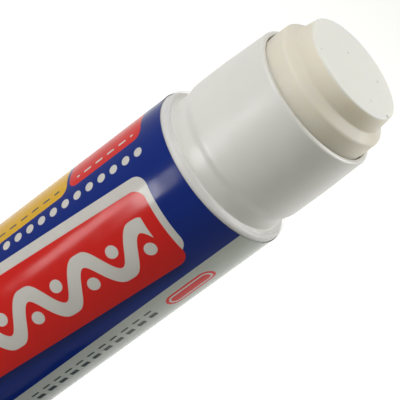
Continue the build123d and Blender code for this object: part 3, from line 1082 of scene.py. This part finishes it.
def pale_floor(settings):
    """Pale floor that looks white where it is lit, and keeps the object's shadow."""
    shading = new_material("pale_floor")
    pattern = settings.pattern
    mottle = shading.spread(shading.noise(pattern.floor_mottle), 0.0, 1.0, *pattern.floor_light)
    grey = shading.scaled(tuple(settings.finish.floor_grey), mottle)
    diffuse = shading.add("ShaderNodeBsdfDiffuse", {"Color": grey})
    lift = shading.maths("MULTIPLY", seen_directly(shading), settings.stage.floor_lift)
    glow = shading.add("ShaderNodeEmission", {"Strength": lift})
    both = shading.add("ShaderNodeAddShader")
    shading.feed(both.inputs[0], diffuse.outputs["BSDF"])
    shading.feed(both.inputs[1], glow.outputs["Emission"])
    return shading.end(both.outputs["Shader"])


def studio_world(stage):
    """Light from all round, with white behind everything for the camera."""
    world = bpy.data.worlds.new("studio")
    shading = Shading(world, "ShaderNodeOutputWorld")
    light = shading.mix(seen_directly(shading), opaque(stage.ambient), (1, 1, 1, 1))
    background = shading.add("ShaderNodeBackground", {"Color": light})
    return shading.end(background.outputs["Background"])


# Operators

class MakeBarrel(bpy.types.Operator):
    """Models the white barrel with its shoulder, snap groove, neck and guide grooves"""

    bl_idname = "glue_stick.make_barrel"
    bl_label = "Barrel"

    def execute(self, context):
        settings = context.scene.glue_stick
        size = settings.barrel
        edge = size.edge_round
        groove_top = size.shoulder + size.groove_height
        ledge_top = groove_top + size.ledge
        corners = (
            (size.skirt_radius, size.foot, edge),
            (size.radius, size.foot, edge),
            (size.radius, size.shoulder, size.shoulder_round),
            (size.groove_radius, size.shoulder, edge),
            (size.groove_radius, groove_top, size.ledge_round),
            (size.ledge_radius, ledge_top, size.ledge_round),
            (size.neck_radius, ledge_top + size.lead, size.lead_round),
            (size.neck_radius, ledge_top + size.lead + size.land, 0),
            (size.mouth_radius, size.mouth, size.mouth_round),
            (size.bore_radius + size.mouth_bevel, size.mouth, edge / 2),
            (size.bore_radius, size.mouth - size.mouth_bevel, edge / 2),
            (size.bore_radius, size.guide_top, 0),
            (size.bore_radius, size.floor_top + edge, 0),
            (size.bore_radius, size.floor_top, 0),
            (size.shaft_radius, size.floor_top, edge),
            (size.shaft_radius, size.floor_foot, edge),
            (size.skirt_radius, size.floor_foot, edge),
        )
        piece = turned("white_barrel", corners, size.steps)
        self.cut_guides(piece, size)
        white = settings.finish.barrel_white
        piece.data.materials.append(satin_moulding("white_moulding", white, settings))
        set_in_frame(piece, "barrel_body", "barrel")
        return {"FINISHED"}

    def cut_guides(self, piece, size):
        """Pushes the guide grooves out into the wall of the bore."""
        apart = math.tau / size.groove_count
        half_turn = size.guide_width / 2 / size.bore_radius

        def in_groove(middle):
            on_bore = abs(math.hypot(middle.x, middle.y) - size.bore_radius) < size.guide_depth / 4
            off_groove = (math.atan2(middle.y, middle.x) + apart / 2) % apart - apart / 2
            in_height = size.floor_top + size.edge_round < middle.z < size.guide_top
            return on_bore and in_height and abs(off_groove) < half_turn

        wider = (size.bore_radius + size.guide_depth) / size.bore_radius
        with editing(piece):
            select_faces(piece, in_groove)
            bpy.ops.mesh.extrude_region_move()
            bpy.ops.transform.resize(value=(wider, wider, 1), center_override=(0, 0, 0))


class MakeFilm(bpy.types.Operator):
    """Models the printed film sleeve, whose bare margin curls in over the shoulder"""

    bl_idname = "glue_stick.make_film"
    bl_label = "Printed film"

    def execute(self, context):
        settings = context.scene.glue_stick
        size = settings.film
        inner = size.radius - size.thickness
        turn = size.curl_turn
        end = size.curl_radius * math.tan(turn / 2) + size.lip
        inner_curl = size.curl_radius - size.thickness
        inner_end = inner_curl * math.tan(turn / 2) + size.lip
        outer_bend = size.straight_top + size.curl_radius * math.tan(turn / 2)
        inner_bend = size.straight_top + inner_curl * math.tan(turn / 2)
        edge = size.thickness / 3
        corners = (
            (inner, size.foot, edge),
            (size.radius, size.foot, edge),
            (size.radius, size.print_top, 0),
            (size.radius, outer_bend, size.curl_radius),
            (size.radius - end * math.sin(turn), outer_bend + end * math.cos(turn), edge),
            (inner - inner_end * math.sin(turn), inner_bend + inner_end * math.cos(turn), edge),
            (inner, inner_bend, inner_curl),
            (inner, size.print_top, 0),
        )
        piece = turned("printed_film_sleeve", corners, size.steps)
        margin = size.straight_top + size.thickness
        roughen(piece, lambda at: at.z > margin, size.pucker, size.pucker_size)
        piece.data.materials.append(printed_film(settings))
        piece.data.materials.append(bare_film(settings))
        with editing(piece):
            select_faces(piece, lambda middle: middle.z > size.print_top)
            piece.active_material_index = 1
            bpy.ops.object.material_slot_assign()
        set_in_frame(piece, "barrel_body", "label_sleeve")
        return {"FINISHED"}


class MakeGlue(bpy.types.Operator):
    """Models the glue column with its stepped, pitted tip and the spindle's hole"""

    bl_idname = "glue_stick.make_glue"
    bl_label = "Glue"

    def execute(self, context):
        settings = context.scene.glue_stick
        size = settings.glue
        step_top = size.step_foot + size.step_rise
        tip_foot = size.radius - size.step_width
        tip_radius = tip_foot - size.tip_draft
        last_straight = size.step_foot - size.step_round * 2
        corners = [
            (0, size.hole_top, 0),
            (size.hole_radius, size.hole_top, size.tip_round),
            (size.hole_radius, size.nut_top, 0),
            (size.nut_radius, size.nut_top, 0),
            (size.nut_radius, size.foot, 0),
            (size.cup_radius, size.foot, 0),
            (size.cup_radius, size.cup_rim, 0),
            (size.radius, size.cup_rim, 0),
            (size.radius, last_straight, 0),
            (size.radius, size.step_foot, size.step_round),
            (tip_foot, step_top, size.tip_foot_round),
            (tip_radius, size.top, size.tip_round),
        ]
        for ring in range(1, size.rings + 1):
            corners.append((tip_radius * (1 - ring / size.rings), size.top, 0))
        piece = turned("glue_column", corners, size.steps, closed=False)
        roughen(piece, lambda at: at.z > last_straight, size.waver, size.waver_size)
        for pit in tip_pits(size):
            press(piece, pit, size.pit_width, size.pit_depth, (0, 0, -1))
        press(piece, Vector(size.nick), size.nick_width, size.nick_depth, (-1, 0, -1))
        piece.data.materials.append(glue_wax(settings))
        set_in_frame(piece, "glue_body", "glue")
        return {"FINISHED"}


class MakeKnob(bpy.types.Operator):
    """Models the fluted knob with its hub, webs, drive socket and clip chamber"""

    bl_idname = "glue_stick.make_knob"
    bl_label = "Knob"

    def execute(self, context):
        settings = context.scene.glue_stick
        size = settings.knob
        grip = settings.grip
        inner = size.radius - size.wall
        flute_foot = grip.margin
        flute_top = size.rim - grip.margin
        corners = (
            (0, 0, 0),
            (size.radius, 0, size.edge_round),
            *flute_rings(grip, size.radius, flute_foot, flute_top),
            (size.radius, size.rim, size.rim_round),
            (inner, size.rim, size.rim_round),
            (inner, size.floor, size.inner_round),
            (size.hub_radius, size.floor, size.inner_round),
            (size.hub_radius, size.hub_top, size.rim_round),
            (0, size.hub_top, 0),
        )
        steps = grip.flutes * grip.steps_per_flute
        piece = turned("blue_knob", corners, steps, closed=False)
        combine(piece, self.webs(size, inner), "UNION")
        combine(piece, self.socket(size), "DIFFERENCE")
        combine(piece, self.chamber(size), "DIFFERENCE")
        cut_flutes(piece, grip, 0.0, size.radius, flute_foot, flute_top)
        piece.data.materials.append(blue_moulding(settings))
        set_in_frame(piece, "screw_body", "knob")
        return {"FINISHED"}

    def socket(self, size):
        """The square drive socket, which reaches past the hub's top."""
        height = size.hub_top + MM - size.floor
        socket = added(
            bpy.ops.mesh.primitive_cube_add,
            "socket",
            size=1,
            scale=(size.socket, size.socket, height),
            location=(0, 0, size.floor + height / 2),
        )
        bpy.ops.object.transform_apply(location=True, rotation=True, scale=True)
        return socket

    def chamber(self, size):
        """The round chamber that the spindle's clip opens in."""
        corners = (
            (0, size.floor, 0),
            (size.chamber_radius, size.floor, 0),
            (size.chamber_radius, size.chamber_top, 0),
            (0, size.chamber_top, 0),
        )
        return turned("chamber", corners, size.chamber_steps, closed=False)

    def webs(self, size, inner):
        """All the webs as one mesh: one is drawn from its side, given its thickness and copied."""
        root = size.hub_radius - size.wall / 4
        corners = (
            (root, size.floor / 2, 0),
            (inner + size.wall / 2, size.floor / 2, 0),
            (inner + size.wall / 2, size.web_low, 0),
            (size.web_step, size.web_low, 0),
            (size.web_step, size.web_top, size.web_round),
            (root, size.web_top, 0),
        )
        web = added(bpy.ops.mesh.primitive_plane_add, "web", size=MM)
        with editing(web):
            draw_outline(web, corners, closed=True)
            bpy.ops.mesh.select_all(action="SELECT")
            bpy.ops.mesh.edge_face_add()
            bpy.ops.mesh.select_all(action="SELECT")
            bpy.ops.transform.translate(value=(0, -size.web_thickness / 2, 0))
            bpy.ops.mesh.extrude_region_move(
                TRANSFORM_OT_translate={"value": (0, size.web_thickness, 0)}
            )
            bpy.ops.mesh.select_all(action="SELECT")
            bpy.ops.mesh.normals_make_consistent(inside=False)
        webs = [web]
        for number in range(1, size.webs):
            pick(web)
            bpy.ops.object.duplicate()
            bpy.context.object.rotation_euler.z = number * math.tau / size.webs
            webs.append(bpy.context.object)
        bpy.ops.object.select_all(action="DESELECT")
        for web in webs:
            web.select_set(True)
        bpy.context.view_layer.objects.active = webs[0]
        bpy.ops.object.join()
        bpy.ops.object.transform_apply(location=True, rotation=True, scale=True)
        return webs[0]


class MakeCap(bpy.types.Operator):
    """Models the fluted cap with its dished end, snap bead and seal ring"""

    bl_idname = "glue_stick.make_cap"
    bl_label = "Cap"

    def execute(self, context):
        settings = context.scene.glue_stick
        size = settings.cap
        grip = settings.grip
        under_roof = size.height - size.roof
        dish_radius = size.radius - size.rim_width
        dish_floor = size.height - size.dish
        half_bead = size.bead_width / 2
        flute_foot = grip.margin
        flute_top = grip.margin + size.flute_length
        corners = (
            (0, dish_floor, 0),
            (dish_radius - size.dish, dish_floor, size.dish_round),
            (dish_radius, size.height, size.dish_round),
            (size.radius, size.height, size.edge_round),
            *reversed(flute_rings(grip, size.radius, flute_foot, flute_top)),
            (size.radius, 0, size.mouth_round),
            (size.bore_radius, 0, size.mouth_round),
            (size.bore_radius, size.bead_height - half_bead, 0),
            (size.bore_radius - size.bead_depth, size.bead_height, size.bead_round),
            (size.bore_radius, size.bead_height + half_bead, 0),
            (size.bore_radius, under_roof - size.crown_height, 0),
            (size.crown_radius, under_roof - size.crown_height, 0),
            (size.crown_radius, under_roof, 0),
            (size.ring_radius, under_roof, 0),
            (size.ring_radius, size.ring_foot, 0),
            (size.ring_inner, size.ring_foot + size.ring_rise, 0),
            (size.ring_root, under_roof, 0),
            (0, under_roof, 0),
        )
        steps = grip.flutes * grip.steps_per_flute
        piece = turned("blue_cap", corners, steps, size.axis, closed=False)
        cut_flutes(piece, grip, size.axis, size.radius, flute_foot, flute_top)
        blue = bpy.data.materials.get("blue_moulding") or blue_moulding(settings)
        piece.data.materials.append(blue)
        set_in_frame(piece, "cap_body", "cap")
        return {"FINISHED"}


class FinishScrew(bpy.types.Operator):
    """Gives the spindle and the carrier, which stay as constructed, their natural white"""

    bl_idname = "glue_stick.finish_screw"
    bl_label = "Spindle and carrier"

    def execute(self, context):
        settings = context.scene.glue_stick
        white = settings.finish.natural_white
        natural = satin_moulding("natural_moulding", white, settings)
        for name in ("spindle", "carrier"):
            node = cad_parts[name]
            node.data.materials.clear()
            node.data.materials.append(natural)
        return {"FINISHED"}


class SetStage(bpy.types.Operator):
    """Sets the floor, the lamps, the light from all round and the camera"""

    bl_idname = "glue_stick.set_stage"
    bl_label = "Stage"

    def execute(self, context):
        settings = context.scene.glue_stick
        stage = settings.stage
        self.lay_floor(settings)
        self.hang_lamp("key_lamp", stage.key, stage.aim, stage.key_size, stage.key_power)
        self.hang_lamp("rim_lamp", stage.rim, stage.aim, stage.rim_size, stage.rim_power)
        for name in ("streak_card", "patch_card", "neck_card"):
            where, size, glow = (getattr(stage, name + end) for end in ("", "_size", "_glow"))
            self.stand_card(name, where, size, glow)
        context.scene.world = studio_world(stage)
        self.place_camera(context, stage)
        context.scene.view_settings.view_transform = "Standard"
        return {"FINISHED"}

    def lay_floor(self, settings):
        """Lays the pale floor under the stick."""
        floor = added(
            bpy.ops.mesh.primitive_plane_add,
            "floor",
            size=settings.stage.floor_size,
            location=(0, 0, -TOUCH),
        )
        floor.data.materials.append(pale_floor(settings))

    def hang_lamp(self, name, where, aim, size, power):
        """Hangs one soft square lamp that looks at a point."""
        lamp = added(bpy.ops.object.light_add, name, type="AREA", location=where)
        lamp.data.size = size
        lamp.data.energy = power
        lamp.rotation_euler = (Vector(aim) - Vector(where)).to_track_quat("-Z", "Y").to_euler()
        return lamp

    def stand_card(self, name, where, size, glow):
        """Stands a small bright card by the stick, which only the gloss of a surface shows."""
        width, height = size
        towards_axis = Vector((0, 0, where[2]))
        card = self.hang_lamp(name, where, towards_axis, width, glow * width * height)
        card.data.shape = "RECTANGLE"
        card.data.size_y = height
        card.visible_diffuse = False
        card.visible_camera = False
        card.visible_transmission = False

    def place_camera(self, context, stage):
        """Places the camera, which looks past the neck from the side and above."""
        camera = added(bpy.ops.object.camera_add, "camera", location=stage.camera)
        camera.data.lens = stage.lens
        camera.data.sensor_width = stage.sensor
        look = (
            Matrix.Rotation(-stage.bearing, 4, "Z")
            @ Matrix.Rotation(math.pi / 2 - stage.dip, 4, "X")
            @ Matrix.Rotation(stage.roll, 4, "Z")
        )
        camera.rotation_euler = look.to_euler()
        context.scene.camera = camera


class StickPanel(bpy.types.Panel):
    """Lists the operators and settings of the glue stick"""

    bl_idname = "VIEW3D_PT_glue_stick"
    bl_label = "Glue stick"
    bl_space_type = "VIEW_3D"
    bl_region_type = "UI"
    bl_category = "Glue stick"

    def draw(self, context):
        for operator in OPERATORS:
            self.layout.operator(operator.bl_idname)
        settings = context.scene.glue_stick
        for group_name in settings.bl_rna.properties.keys():
            group = getattr(settings, group_name)
            if not isinstance(group, bpy.types.PropertyGroup):
                continue
            box = self.layout.box()
            box.label(text=group_name.capitalize())
            for name in group.__annotations__:
                box.prop(group, name)


GROUPS = (
    BarrelSizes,
    FilmSizes,
    GlueSizes,
    GripSizes,
    KnobSizes,
    CapSizes,
    PrintLayout,
    Finishes,
    Patterns,
    StageSettings,
    StickSettings,
)
OPERATORS = (MakeBarrel, MakeFilm, MakeGlue, MakeKnob, MakeCap, FinishScrew, SetStage)


def register():
    """Registers the settings, the operators and the panel."""
    for group in (*GROUPS, *OPERATORS, StickPanel):
        bpy.utils.register_class(group)
    bpy.types.Scene.glue_stick = bpy.props.PointerProperty(type=StickSettings)


def unregister():
    """Takes the panel, the operators and the settings out again."""
    del bpy.types.Scene.glue_stick
    for group in reversed((*GROUPS, *OPERATORS, StickPanel)):
        bpy.utils.unregister_class(group)


def main():
    """Makes every piece and the stage."""
    register()
    for operator in OPERATORS:
        group, name = operator.bl_idname.split(".")
        getattr(getattr(bpy.ops, group), name)()


if __name__ == "__main__":
    main()
